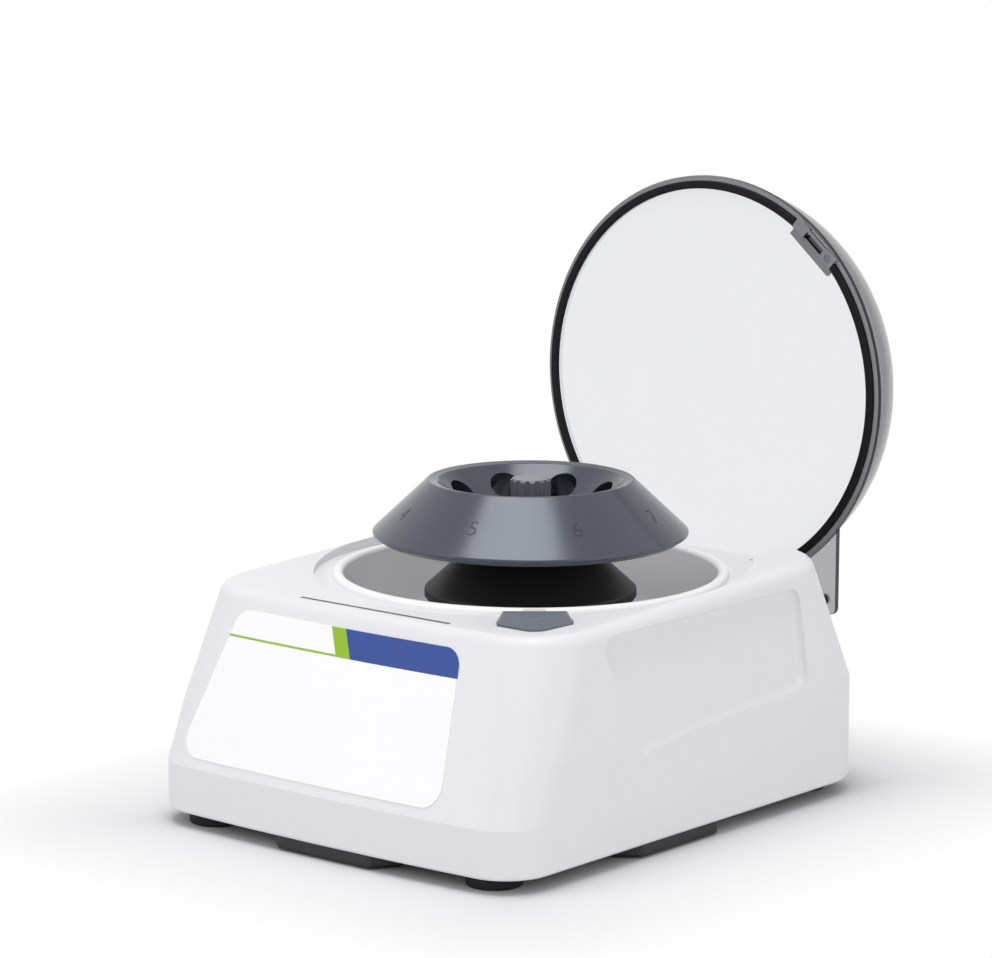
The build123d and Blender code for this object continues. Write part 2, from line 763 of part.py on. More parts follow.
# Rotor: a turned body with a dished top, bored through by eight slanted wells
dish_rim_radius = rotor_floor_radius + rotor_crest_z - 0.7 - rotor_floor_z
well_mouth_z = rotor_floor_z + well_pitch_radius - rotor_floor_radius
well_reach = math.sqrt(2) * (well_mouth_z - rotor_foot_z) + well_radius + 1
with BuildPart() as rotor:
    with BuildSketch(Plane.XZ) as rotor_profile:
        with BuildLine():
            Polyline(
                (hub_radius, rotor_foot_z),
                (14.0, rotor_foot_z),
                (14.0, rotor_foot_z + 4.0),
                (25.0, rotor_foot_z + 4.0),
                (25.0, rotor_foot_z),
                (rotor_radius - 2.7, rotor_foot_z),
                (rotor_radius, rotor_widest_z - 0.9),
                (rotor_radius, rotor_widest_z),
                (rotor_crest_radius, rotor_crest_z),
                (dish_rim_radius, rotor_crest_z - 0.7),
                (rotor_floor_radius, rotor_floor_z),
                (hub_radius, rotor_floor_z),
                close=True,
            )
        make_face()
        crest = rotor_profile.vertices().filter_by(lambda v: v.Y > rotor_crest_z - 1)
        fillet(crest, radius=0.9)
        fillet(rotor_profile.vertices().filter_by(
            lambda v: abs(v.X - rotor_floor_radius) < 0.1 and v.Y < rotor_floor_z + 0.1), radius=2.0)
        fillet(rotor_profile.vertices().filter_by(lambda v: v.X > rotor_radius - 0.1), radius=0.4)
    revolve(axis=Axis.Z)
    for index in range(well_count):
        azimuth = well_first_azimuth + index * 360 / well_count
        mouth = polar(well_pitch_radius, azimuth, well_mouth_z)
        inward = polar(-1, azimuth, 1)
        with BuildSketch(Plane(origin=mouth, z_dir=inward)):
            Circle(well_radius)
        extrude(amount=well_reach, both=True, mode=Mode.SUBTRACT)
save(rotor.part, "rotor")

# Fluted lock knob on the hub's stud
knob_radius = 7.15
knob_bottom_z = hub_top_z + 0.3
knob_top_z = rotor_crest_z
flute_count = 12
with BuildPart() as rotor_knob:
    with BuildSketch(Plane.XY.offset(knob_bottom_z)):
        Circle(knob_radius)
    extrude(amount=knob_top_z - knob_bottom_z)
    chamfer(rotor_knob.edges().group_by(Axis.Z)[-1], length=0.7)
    with BuildSketch(Plane.XY.offset(knob_bottom_z + 1.2)):
        with PolarLocations(knob_radius + 0.5, flute_count):
            Circle(1.2)
    extrude(amount=knob_top_z - knob_bottom_z, mode=Mode.SUBTRACT)
    with BuildSketch(Plane.XY.offset(knob_bottom_z)):
        Circle(stud_radius + running_clearance)
    extrude(amount=stud_top_z + slide_clearance - knob_bottom_z, mode=Mode.SUBTRACT)
save(rotor_knob.part, "rotor_knob")


def dome_solid(inset):
    """The dome filled down to the lid's rim, drawn in by inset: a round shoulder and a flat crown."""
    turn = math.radians(dome_shoulder_turn)
    centre = dome_radius - dome_shoulder_radius
    crown = (centre + dome_shoulder_radius * math.cos(turn)) / math.cos(turn) - inset
    with BuildPart() as solid:
        with BuildSketch(Plane.XZ):
            with BuildLine():
                foot = (dome_radius - inset, lid_rim_z)
                rounding = JernArc(foot, (0, 1), dome_shoulder_radius - inset, dome_shoulder_turn)
                top = JernArc(rounding @ 1, rounding % 1, crown, 90 - dome_shoulder_turn)
                Line(top @ 1, (0, lid_rim_z))
                Line((0, lid_rim_z), foot)
            make_face()
        revolve(axis=Axis.Z)
    return solid.part


# Lid catch, on the latch's line: a block with a pocket that the hook's nose enters
catch_inner = bowl_rim_radius + 0.5
catch_foot_inner = bowl_rim_radius + bowl_rim_width + 0.5
catch_step_z = seat_z + bowl_rim_height + 0.4
catch_outer = flange_radius - 1.0
catch_half_width = 11.0
pocket_half = hook_half_width + 0.8
pocket_inner = hook_inner - hook_travel - slide_clearance
lip_inner = hook_inner + hook_post + 0.2
lip_top_z = hook_nose_z - slide_clearance
catch_top_z = lid_rim_z + 5.0
catch_pocket_top_z = hook_top_z + 0.6

# Clear lid: domed shell, rim flange and squared rear flap
with BuildPart() as lid_dome:
    add(dome_solid(0))
    split(bisect_by=Plane.XY.offset(flange_z), keep=Keep.TOP)
    with BuildSketch(Plane.XY.offset(flange_z)):
        Circle(flange_radius)
    extrude(amount=flange_thickness)
    with BuildSketch(Plane.XY.offset(flange_z)):
        with Locations((0, flap_reach / 2 + 20)):
            Rectangle(2 * flap_half_width, flap_reach - 40)
    extrude(amount=flap_thickness)
    fillet(lid_dome.edges().filter_by(Axis.Z).group_by(Axis.Y)[-1], radius=3.0)
    with BuildSketch(Plane.XY.offset(flange_z - 1)):
        Circle(seal_inner_radius)
    extrude(amount=flange_thickness + 1, mode=Mode.SUBTRACT)
    add(dome_solid(dome_wall), mode=Mode.SUBTRACT)
    with BuildSketch(Plane.XY.offset(flange_z)):
        Circle(seal_inner_radius + 2)
        Circle(seal_inner_radius, mode=Mode.SUBTRACT)
    extrude(amount=flange_thickness)
    with BuildSketch(on_latch_line(flange_z - 1)):
        with Locations(((catch_inner + catch_outer) / 2, 0)):
            Rectangle(catch_outer - catch_inner, 2 * pocket_half)
    extrude(amount=catch_pocket_top_z - flange_z + 1, mode=Mode.SUBTRACT)
    with BuildSketch(on_latch_line(flange_z - 1)):
        with Locations(((catch_inner + dome_radius - dome_wall) / 2, 0)):
            Rectangle(dome_radius - dome_wall - catch_inner, 2 * catch_half_width + 0.2)
    extrude(amount=flange_thickness + 1, mode=Mode.SUBTRACT)
    arm_screw_places = [
        (side * (arm_centre_x + step), hinge_y - 3.5, flange_z + flap_thickness)
        for side in (-1, 1)
        for step in (-2.6, 2.6)
    ]
    with BuildSketch(Plane.XY.offset(flange_z - 1)):
        with Locations([place[:2] for place in arm_screw_places]):
            Circle(1.2)
    extrude(amount=flap_thickness + 2, mode=Mode.SUBTRACT)
save(swung_open(lid_dome.part), "lid_dome")

with BuildPart() as lid_seal:
    with BuildSketch(Plane.XY.offset(lid_rim_z)):
        Circle(seal_outer_radius)
        Circle(seal_inner_radius, mode=Mode.SUBTRACT)
    extrude(amount=seal_height)
    fillet(lid_seal.edges().group_by(Axis.Z)[0], radius=0.5)
    with BuildSketch(on_latch_line(lid_rim_z - 1)):
        with Locations((seal_inner_radius, 0)):
            Rectangle(12, 2 * catch_half_width + 0.4)
    extrude(amount=seal_height + 2, mode=Mode.SUBTRACT)
save(swung_open(lid_seal.part), "lid_seal")

magnet_radius = 1.5
magnet_height = 1.0
magnet_place = ((catch_foot_inner + catch_outer) / 2, catch_half_width - 3.0)
with BuildPart() as lid_catch:
    with BuildSketch(on_latch_line(lid_rim_z)):
        with Locations(((catch_foot_inner + catch_outer) / 2, 0)):
            Rectangle(catch_outer - catch_foot_inner, 2 * catch_half_width)
    extrude(amount=flange_z - lid_rim_z)
    with BuildSketch(on_latch_line(flange_z)) as block_top:
        with Locations(((catch_inner + dome_radius) / 2, 0)):
            Rectangle(dome_radius - catch_inner, 2 * catch_half_width)
        add(Circle(dome_radius - dome_wall - 0.6, mode=Mode.PRIVATE), mode=Mode.INTERSECT)
    extrude(amount=catch_top_z - flange_z)
    fillet(lid_catch.edges().group_by(Axis.Z)[-1], radius=1.0)
    with BuildSketch(on_latch_line(lid_rim_z)):
        with Locations(((pocket_inner + lip_inner) / 2, 0)):
            Rectangle(lip_inner - pocket_inner, 2 * pocket_half)
    extrude(amount=catch_pocket_top_z - lid_rim_z, mode=Mode.SUBTRACT)
    with BuildSketch(on_latch_line(lip_top_z)):
        with Locations(((pocket_inner + catch_outer) / 2 + 0.5, 0)):
            Rectangle(catch_outer - pocket_inner + 1, 2 * pocket_half)
    extrude(amount=catch_pocket_top_z - lip_top_z, mode=Mode.SUBTRACT)
    with BuildSketch(on_latch_line(lid_rim_z - 1)):
        Circle(catch_foot_inner)
    extrude(amount=catch_step_z - lid_rim_z + 1, mode=Mode.SUBTRACT)
    with BuildSketch(on_latch_line(lid_rim_z)):
        with Locations(magnet_place):
            Circle(magnet_radius)
    extrude(amount=magnet_height + 0.2, mode=Mode.SUBTRACT)
save(swung_open(lid_catch.part), "lid_catch")

with BuildPart() as lid_magnet:
    with BuildSketch(on_latch_line(lid_rim_z + 0.2)):
        with Locations(magnet_place):
            Circle(magnet_radius)
    extrude(amount=magnet_height)
save(swung_open(lid_magnet.part), "lid_magnet")

# Lid arms, turning on fixed pins in the hinge pockets
arm_bar_front = hinge_y - 5.5
arm_bar_back = hinge_y + 1.2
arm_foot_height = 2.4
for arm_name, side in (("lid_arm_left", -1), ("lid_arm_right", 1)):
    with BuildPart() as arm:
        with BuildSketch(Plane.YZ.offset(side * arm_centre_x)) as arm_face:
            with Locations((hinge_y, hinge_z)):
                Circle(arm_boss_radius)
            with BuildLine():
                Polyline(
                    (arm_bar_front, hinge_z),
                    (arm_bar_front, flange_z),
                    (arm_bar_back, flange_z),
                    (hinge_y + arm_boss_radius * 0.9, hinge_z),
                    close=True,
                )
            make_face()
            with Locations((hinge_y, hinge_z)):
                Circle(pin_radius + running_clearance, mode=Mode.SUBTRACT)
        extrude(amount=arm_width / 2, both=True)
        with BuildSketch(Plane.XY.offset(flange_z)):
            with Locations([place[:2] for place in arm_screw_places]):
                Circle(1.0)
        extrude(amount=-8, mode=Mode.SUBTRACT)
    save(swung_open(arm.part), arm_name)

with BuildPart() as hinge_pins:
    for side in (-1, 1):
        with BuildSketch(Plane.YZ.offset(side * arm_centre_x)):
            with Locations((hinge_y, hinge_z)):
                Circle(pin_radius)
        extrude(amount=pocket_half_width + pocket_wall - 0.2, both=True)
save(hinge_pins.part, "hinge_pins")

save(swung_open(screws(arm_screw_places, 2.0, 1.2, 1.0, 8.0, up=False)), "lid_arm_screws")

# Release button: hollow cap, long skirt in the collar, stem with a slanted foot
with BuildPart() as release_button:
    skirt_top_z = deck_at_button + 0.5
    with BuildSketch(on_latch_line(button_skirt_z)):
        add(button_plan(0))
    extrude(amount=skirt_top_z - button_skirt_z)
    with BuildSketch(on_latch_line(skirt_top_z)):
        add(button_plan(0))
    extrude(amount=button_top_z - skirt_top_z, taper=32)
    fillet(release_button.edges().group_by(Axis.Z)[-1], radius=0.6)
    with BuildSketch(on_latch_line(button_skirt_z)):
        add(button_plan(-button_wall))
    extrude(amount=skirt_top_z - button_skirt_z, mode=Mode.SUBTRACT)
    with BuildSketch(beside_latch_line()):
        foot_rise = stem_gap * math.hypot(1, ramp_run) / ramp_run
        wedge_low = (hook_end, ramp_foot_z + foot_rise)
        wedge_high = (stem_inner, ramp_foot_z + foot_rise + (hook_end - stem_inner) / ramp_run)
        with BuildLine():
            Polyline(
                wedge_low,
                (stem_outer, ramp_foot_z + foot_rise),
                (stem_outer, skirt_top_z),
                (stem_inner, skirt_top_z),
                wedge_high,
                close=True,
            )
        make_face()
    extrude(amount=stem_half_width, both=True)
save(release_button.part, "release_button")

# Latch hook: a sliding arm with a window for its spring, a ramp and the post with the nose
window_inner = rib_inner + 4.0
window_outer = window_inner + 9.0
window_half = 2.4
with BuildPart() as latch_hook:
    with BuildSketch(beside_latch_line()):
        arm_top = hook_floor_z + hook_arm_height
        with BuildLine():
            Polyline(
                (hook_inner, hook_floor_z),
                (hook_end, hook_floor_z),
                (hook_end, ramp_foot_z),
                (ramp_inner, ramp_top_z),
                (ramp_inner - 1.3, ramp_top_z),
                (ramp_inner - 1.3, arm_top),
                (hook_inner + hook_post, arm_top),
                (hook_inner + hook_post, hook_nose_z),
                (hook_inner + hook_post + hook_nose, hook_nose_z),
                (hook_inner + hook_post, hook_top_z),
                (hook_inner, hook_top_z),
                close=True,
            )
        make_face()
    extrude(amount=hook_half_width, both=True)
    with BuildSketch(on_latch_line(hook_floor_z)):
        with Locations(((window_inner + window_outer) / 2, 0)):
            Rectangle(window_outer - window_inner, 2 * window_half)
    extrude(amount=hook_arm_height, mode=Mode.SUBTRACT)
save(latch_hook.part, "latch_hook")

# Cover plate that carries the hook, with the peg that its spring pushes against
cover_plate_thickness = 2.6
cover_plate_outer = hook_end - 3.9
peg_inner = window_inner + slide_clearance
peg_outer = peg_inner + 1.2
cover_top = hook_floor_z - slide_clearance
cover_half_width = rib_gap + rib_thickness
latch_screw_places = [(rib_inner + 2.2, side * (rib_gap + rib_thickness / 2)) for side in (-1, 1)]
with BuildPart() as latch_cover:
    with BuildSketch(on_latch_line(cover_top - cover_plate_thickness)):
        with Locations(((rib_inner + cover_plate_outer) / 2, 0)):
            Rectangle(cover_plate_outer - rib_inner, 2 * cover_half_width)
    extrude(amount=cover_plate_thickness)
    with BuildSketch(on_latch_line(cover_top)):
        with Locations(((peg_inner + peg_outer) / 2, 0)):
            Rectangle(peg_outer - peg_inner, 3.4)
    extrude(amount=3.4)
    with BuildSketch(on_latch_line(cover_top - cover_plate_thickness)):
        with Locations(latch_screw_places):
            Circle(1.1)
    extrude(amount=cover_plate_thickness, mode=Mode.SUBTRACT)
save(latch_cover.part, "latch_cover")

latch_points = [
    on_latch_line(0).from_local_coords(Vector(x, y, cover_top - cover_plate_thickness))
    for x, y in latch_screw_places
]
save(screws([(point.X, point.Y, point.Z) for point in latch_points], 1.9, 1.2, 1.0, cover_plate_thickness),
     "latch_screws")

# Coil springs: one pushes the hook outward, one lifts the button
hook_wire_radius = 0.25
hook_coil_radius = 1.5
hook_coil_turns = 6
hook_spring_z = hook_floor_z + hook_arm_height / 2
with BuildPart() as latch_spring:
    spring_length = window_outer - peg_outer - 2 * hook_wire_radius - 0.1
    start = polar(peg_outer + hook_wire_radius + 0.05, latch_azimuth, hook_spring_z)
    with BuildLine() as hook_coil:
        Helix(spring_length / hook_coil_turns, spring_length, hook_coil_radius, center=start,
              direction=polar(1, latch_azimuth))
    with BuildSketch(Plane(origin=hook_coil.line @ 0, z_dir=hook_coil.line % 0)):
        Circle(hook_wire_radius)
    sweep(is_frenet=True)
save(latch_spring.part, "latch_spring")

button_wire_radius = 0.3
button_coil_radius = 3.9
button_coil_turns = 5
with BuildPart() as button_spring:
    spring_bottom = collar_floor_top_z + button_wire_radius + 0.05
    spring_length = skirt_top_z - spring_bottom - button_wire_radius - 0.1
    start = polar((stem_inner + stem_outer) / 2, latch_azimuth, spring_bottom)
    with BuildLine() as button_coil:
        Helix(spring_length / button_coil_turns, spring_length, button_coil_radius, center=start)
    with BuildSketch(Plane(origin=button_coil.line @ 0, z_dir=button_coil.line % 0)):
        Circle(button_wire_radius)
    sweep(is_frenet=True)
save(button_spring.part, "button_spring")

# Lid sensor, glued under the seat below the magnet's shut place
with BuildPart() as lid_sensor:
    with BuildSketch(on_latch_line(cavity_top_z - 3)):
        with Locations(magnet_place):
            Rectangle(4, 6)
    extrude(amount=3)
save(lid_sensor.part, "lid_sensor")

# Control board with its parts
board_z = standoff_top_z
board_top_z = board_z + board_thickness
with BuildPart() as control_board:
    with BuildSketch(Plane.XY.offset(board_z)):
        with Locations(board_centre):
            RectangleRounded(*board_size, 2)
        with Locations(board_corners):
            Circle(board_screw_radius + 0.3, mode=Mode.SUBTRACT)
    extrude(amount=board_thickness)
save(control_board.part, "control_board")

with BuildPart() as board_parts:
    with BuildSketch(Plane.XY.offset(board_top_z)):
        with Locations((board_centre[0] - 26, board_centre[1] + 6), (board_centre[0] - 26, board_centre[1] - 8)):
            Circle(5)
    extrude(amount=14)
    with BuildSketch(Plane.XY.offset(board_top_z)):
        with Locations(board_centre):
            Rectangle(10, 10)
    extrude(amount=1.6)
    with BuildSketch(Plane.XY.offset(board_top_z)):
        with Locations((board_centre[0] + 28, board_centre[1] + 14)):
            Rectangle(14, 6)
        with Locations((board_centre[0] + 28, board_centre[1] - 14)):
            Rectangle(10, 6)
        with Locations((board_centre[0], board_centre[1] + 16)):
            Rectangle(12, 6)
    extrude(amount=8)
    with BuildSketch(Plane.XY.offset(board_top_z)):
        with Locations((board_centre[0] + 14, board_centre[1] - 6)):
            Rectangle(16, 5)
    extrude(amount=15)
save(board_parts.part, "board_parts")

save(screws([(x, y, board_top_z) for x, y in board_corners], 2.2, 1.4, board_screw_radius, 7.0, up=False),
     "board_screws")

# Rear wall fittings: low voltage inlet and rocker switch
fitting_face_y = body_rear_y
fitting_flange = 1.8
with BuildPart() as power_inlet:
    with BuildSketch(Plane.XZ.offset(-fitting_face_y)):
        with Locations((inlet_x, rear_fitting_z)):
            Circle(7.4)
    extrude(amount=-fitting_flange)
    with BuildSketch(Plane.XZ.offset(-fitting_face_y)):
        with Locations((inlet_x, rear_fitting_z)):
            Circle(inlet_hole_radius - 0.2)
    extrude(amount=wall + 9)
    with BuildSketch(Plane.XZ.offset(-fitting_face_y + wall + 1.3)):
        with Locations((inlet_x, rear_fitting_z)):
            RegularPolygon(8.2, 6)
    extrude(amount=2.4)
    with BuildSketch(Plane.XZ.offset(-fitting_face_y - fitting_flange)):
        with Locations((inlet_x, rear_fitting_z)):
            Circle(3.2)
            Circle(1.1, mode=Mode.SUBTRACT)
    extrude(amount=10, mode=Mode.SUBTRACT)
save(power_inlet.part, "power_inlet")

rocker_width = 15.0
rocker_height = 9.6
rocker_swing = 9.0
rocker_pivot_y = fitting_face_y - 1.5
rocker_radius = 7.0
with BuildPart() as power_switch_frame:
    with BuildSketch(Plane.XZ.offset(-fitting_face_y)):
        with Locations((switch_x, rear_fitting_z)):
            RectangleRounded(22, 15.5, 1.2)
    extrude(amount=-fitting_flange)
    with BuildSketch(Plane.XZ.offset(-fitting_face_y)):
        with Locations((switch_x, rear_fitting_z)):
            Rectangle(switch_cutout[0] - 0.4, switch_cutout[1] - 0.4)
    extrude(amount=15)
    with BuildSketch(Plane.XZ.offset(-fitting_face_y - fitting_flange)):
        with Locations((switch_x, rear_fitting_z)):
            Rectangle(rocker_width + 0.8, rocker_height + 0.8)
    extrude(amount=12, mode=Mode.SUBTRACT)
    with BuildSketch(Plane.YZ.offset(switch_x)):
        with Locations((rocker_pivot_y, rear_fitting_z)):
            Circle(1.0)
    extrude(amount=(rocker_width + 0.8) / 2 + 0.8, both=True)
    with BuildSketch(Plane.XZ.offset(-fitting_face_y + 15)):
        with Locations((switch_x - 5, rear_fitting_z), (switch_x + 5, rear_fitting_z)):
            Rectangle(0.8, 4.8)
    extrude(amount=7)
save(power_switch_frame.part, "power_switch_frame")

with BuildPart() as power_switch_rocker:
    with BuildSketch(Plane.YZ.offset(switch_x)):
        with BuildLine():
            half = rocker_height / 2
            Polyline(
                (rocker_pivot_y - 4.0, rear_fitting_z - half + 1.6),
                (rocker_pivot_y + 2.4, rear_fitting_z - half + 0.2),
                (rocker_pivot_y + 4.6, rear_fitting_z - half + 0.6),
            )
            ThreePointArc(
                (rocker_pivot_y + 4.6, rear_fitting_z - half + 0.6),
                (rocker_pivot_y + 3.6, rear_fitting_z),
                (rocker_pivot_y + 4.6, rear_fitting_z + half - 0.6),
            )
            Polyline(
                (rocker_pivot_y + 4.6, rear_fitting_z + half - 0.6),
                (rocker_pivot_y + 2.4, rear_fitting_z + half - 0.2),
                (rocker_pivot_y - 4.0, rear_fitting_z + half - 1.6),
                (rocker_pivot_y - 4.0, rear_fitting_z - half + 1.6),
            )
        make_face()
        with Locations((rocker_pivot_y, rear_fitting_z)):
            Circle(1.0 + running_clearance, mode=Mode.SUBTRACT)
    extrude(amount=rocker_width / 2, both=True)
rocker_axis = Axis((switch_x, rocker_pivot_y, rear_fitting_z), (1, 0, 0))
save(power_switch_rocker.part.rotate(rocker_axis, -rocker_swing), "power_switch_rocker")
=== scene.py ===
# Looks of the bench mini centrifuge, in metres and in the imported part's frame: +Z up, front panel towards -Y.
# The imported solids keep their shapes. This script gives them their finishes, adds the rotor's place numbers
# and the marks on the power switch, and sets up the floor, the softboxes and the camera.
import math

import bmesh
import bpy
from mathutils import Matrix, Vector
from mathutils.bvhtree import BVHTree


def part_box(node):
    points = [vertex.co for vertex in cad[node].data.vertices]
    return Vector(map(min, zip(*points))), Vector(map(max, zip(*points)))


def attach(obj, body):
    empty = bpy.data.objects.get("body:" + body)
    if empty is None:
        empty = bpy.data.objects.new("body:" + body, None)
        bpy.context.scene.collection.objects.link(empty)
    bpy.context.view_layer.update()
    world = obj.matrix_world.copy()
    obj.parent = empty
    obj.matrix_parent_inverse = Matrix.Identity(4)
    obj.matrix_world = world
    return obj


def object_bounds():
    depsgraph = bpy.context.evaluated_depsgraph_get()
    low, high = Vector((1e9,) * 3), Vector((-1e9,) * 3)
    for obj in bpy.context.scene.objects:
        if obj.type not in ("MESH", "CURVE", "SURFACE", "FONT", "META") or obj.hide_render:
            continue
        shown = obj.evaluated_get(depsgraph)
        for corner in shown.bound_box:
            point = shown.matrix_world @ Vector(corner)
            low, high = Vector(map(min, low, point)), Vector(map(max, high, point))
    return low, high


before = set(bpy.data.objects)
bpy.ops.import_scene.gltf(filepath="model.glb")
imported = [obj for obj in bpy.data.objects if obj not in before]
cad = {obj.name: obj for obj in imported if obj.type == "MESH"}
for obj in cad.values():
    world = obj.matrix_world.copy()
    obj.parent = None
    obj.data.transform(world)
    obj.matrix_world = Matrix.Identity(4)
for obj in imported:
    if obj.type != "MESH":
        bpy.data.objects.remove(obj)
cad_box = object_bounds()

MM = 0.001
UP = Vector((0.0, 0.0, 1.0))

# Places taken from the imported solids
rotor_low, rotor_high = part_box("rotor")
panel_low, panel_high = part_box("front_panel")
lid_low, lid_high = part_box("lid_dome")
_, arm_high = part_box("lid_arm_right")
catch_low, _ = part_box("lid_catch")
rocker_low, rocker_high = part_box("power_switch_rocker")
spindle = Vector(((rotor_low.x + rotor_high.x) / 2, (rotor_low.y + rotor_high.y) / 2, 0.0))
rotor_radius = (rotor_high.x - rotor_low.x) / 2
lip_width = 1.4 * MM
flange_radius = (lid_high.x - lid_low.x) / 2
dome_radius = flange_radius - lip_width
lid_axis = Vector((0.0, lid_low.y, lid_high.z - flange_radius))


# Shader maths
class Value:
    """A socket of a shader tree that takes part in Python arithmetic; each operator adds its Math node."""

    def __init__(self, graph, socket):
        self.graph = graph
        self.socket = socket

    def maths(self, operation, *operands, clamp=False):
        settings = {"operation": operation, "use_clamp": clamp}
        return self.graph.add("ShaderNodeMath", settings, dict(enumerate(operands)))

    def __add__(self, other):
        return self.maths("ADD", self, other)

    __radd__ = __add__

    def __sub__(self, other):
        return self.maths("SUBTRACT", self, other)

    def __rsub__(self, other):
        return self.maths("SUBTRACT", other, self)

    def __mul__(self, other):
        return self.maths("MULTIPLY", self, other)

    __rmul__ = __mul__

    def __truediv__(self, other):
        return self.maths("DIVIDE", self, other)

    def __rtruediv__(self, other):
        return self.maths("DIVIDE", other, self)

    def __pow__(self, other):
        return self.maths("POWER", self, other)

    def __gt__(self, other):
        return self.maths("GREATER_THAN", self, other)

    def __lt__(self, other):
        return self.maths("LESS_THAN", self, other)

    def __abs__(self):
        return self.maths("ABSOLUTE", self)

    def held(self):
        """The same value, kept between 0 and 1."""
        return self.maths("ADD", self, 0.0, clamp=True)

    def at_least(self, low):
        return self.maths("MAXIMUM", self, low)

    def swing(self, width):
        """A value from 0 to 1, turned into one that is that much wide and centred on 0."""
        return (self - 0.5) * width

    def wave(self, pitch):
        """A sine wave from -1 to 1 that repeats at each pitch of this value."""
        return self.maths("SINE", self * (2 * math.pi / pitch))


class Graph:
    """A shader tree, built node by node."""

    def __init__(self, tree):
        self.tree = tree
        self.tree.nodes.clear()

    def add(self, kind, settings=None, sockets=None, output=0):
        """Adds a node: settings first, then its sockets' values or links. Gives one output, or several."""
        made = self.tree.nodes.new(kind)
        for name, value in (settings or {}).items():
            if name == "stops":
                self.set_stops(made.color_ramp, value)
            else:
                setattr(made, name, value)
        for name, value in (sockets or {}).items():
            socket = made.inputs[name]
            if isinstance(value, Value):
                self.tree.links.new(value.socket, socket)
            elif socket.type == "RGBA":
                socket.default_value = (*value[:3], 1.0)
            else:
                socket.default_value = value
        if isinstance(output, tuple):
            return [Value(self, made.outputs[name]) for name in output]
        return Value(self, made.outputs[output]) if made.outputs else None

    @staticmethod
    def set_stops(ramp, stops):
        """Gives a ramp its stops, each a place from 0 to 1 and a colour."""
        while len(ramp.elements) < len(stops):
            ramp.elements.new(1.0)
        for element, (position, colour) in zip(ramp.elements, stops):
            element.position = position
            element.color = (*colour, 1.0)

    def ramp(self, value, *stops):
        """A colour that follows a value through stops of place and colour."""
        return self.add("ShaderNodeValToRGB", {"stops": stops}, {0: value})

    def split(self, vector):
        """The three parts of a vector."""
        return self.add("ShaderNodeSeparateXYZ", None, {0: vector}, ("X", "Y", "Z"))

    def mix(self, share, first, second):
        """A shader between two shaders."""
        return self.add("ShaderNodeMixShader", None, {0: share, 1: first, 2: second})

    def seen_rays(self):
        """1 for the rays that show the backdrop: from the camera, off gloss or through clear plastic."""
        kinds = ("Is Camera Ray", "Is Glossy Ray", "Is Transmission Ray")
        camera, glossy, through = self.add("ShaderNodeLightPath", output=kinds)
        return (camera + glossy + through).held()


class Finish(Graph):
    """One material."""

    def __init__(self, name):
        self.material = bpy.data.materials.new(name)
        self.material.use_nodes = True
        super().__init__(self.material.node_tree)
        self.place, self.normal = self.add("ShaderNodeTexCoord", output=("Object", "Normal"))

    def xyz(self, about=(0.0, 0.0, 0.0)):
        """The place on the piece as three values, counted from a point."""
        sockets = {0: self.place, 1: tuple(about)}
        return self.split(self.add("ShaderNodeVectorMath", {"operation": "SUBTRACT"}, sockets))

    def noise(self, size, detail=2.0, stretch=None):
        """Cloudy noise whose lumps are about size across, from 0 to 1."""
        place = self.place
        if stretch is not None:
            place = self.add("ShaderNodeMapping", None, {"Vector": place, "Scale": stretch})
        sockets = {"Vector": place, "Scale": 1 / size, "Detail": detail}
        return self.add("ShaderNodeTexNoise", None, sockets, "Fac")

    def cells(self, size):
        """Distance to the nearest of many scattered points, about size apart."""
        return self.add("ShaderNodeTexVoronoi", None, {"Vector": self.place, "Scale": 1 / size}, "Distance")

    def facing(self):
        """How far the surface turns away from the line of sight, from 0 to 1."""
        return self.add("ShaderNodeLayerWeight", None, {"Blend": 0.5}, "Facing")

    def blend(self, share, first, second):
        """A colour between two colours."""
        return self.add("ShaderNodeMix", {"data_type": "RGBA"}, {0: share, 6: first, 7: second}, output=2)

    def relief(self, height, depth):
        """A normal that stands for a height from 0 to 1 over that depth."""
        return self.add("ShaderNodeBump", None, {"Height": height, "Distance": depth, "Strength": 1.0})

    def glossy(self, sockets):
        """One Principled shader."""
        return self.add("ShaderNodeBsdfPrincipled", None, sockets)

    def see_through(self, colour):
        """A shader that lets the view through, tinted by a colour."""
        return self.add("ShaderNodeBsdfTransparent", None, {"Color": colour})

    def close(self, shader):
        """Ends the material with a shader."""
        self.add("ShaderNodeOutputMaterial", None, {"Surface": shader})
        return self.material


def tone(red, green, blue):
    """A colour as an eye reads it from a screen, from 0 to 255, as linear light."""
    parts = [v / 255 for v in (red, green, blue)]
    return tuple(v / 12.92 if v <= 0.04045 else ((v + 0.055) / 1.055) ** 2.4 for v in parts)


def scaled(colour, factor):
    return tuple(min(1.0, v * factor) for v in colour)


# Finishes
def moulded(
    name,
    colour,
    roughness,
    grain=0.35 * MM,
    depth=0.008 * MM,
    mottle=0.04,
    specular=0.5,
    sheen=(1.0, 1.0, 1.0),
    painted_shade=None,
):
    """Moulded plastic: the tool's fine spark-eroded grain, soft clouding and a gloss that varies a little."""
    cloud_size = 28 * MM
    cloud_contrast = 1.4
    pit_size = grain * 1.6
    f = Finish(name)
    clouds = f.noise(cloud_size, 3.0)
    fine = f.noise(grain, 2.0)
    pits = f.cells(pit_size)
    strong_clouds = (clouds * cloud_contrast - (cloud_contrast - 1) / 2).held()
    paint = f.blend(strong_clouds, scaled(colour, 1 - mottle), scaled(colour, 1 + mottle))
    # painted shade: a darker colour laid over the paint where a recess lies in shadow
    if painted_shade is not None:
        share, shade = painted_shade(f)
        paint = f.blend(share, paint, shade)
    sockets = {
        "Base Color": paint,
        "Roughness": roughness + clouds.swing(0.10) + fine.swing(0.05),
        "Specular IOR Level": specular,
        "Specular Tint": sheen,
        "Normal": f.relief(fine * 0.6 + pits * 0.4, depth),
    }
    return f.close(f.glossy(sockets))


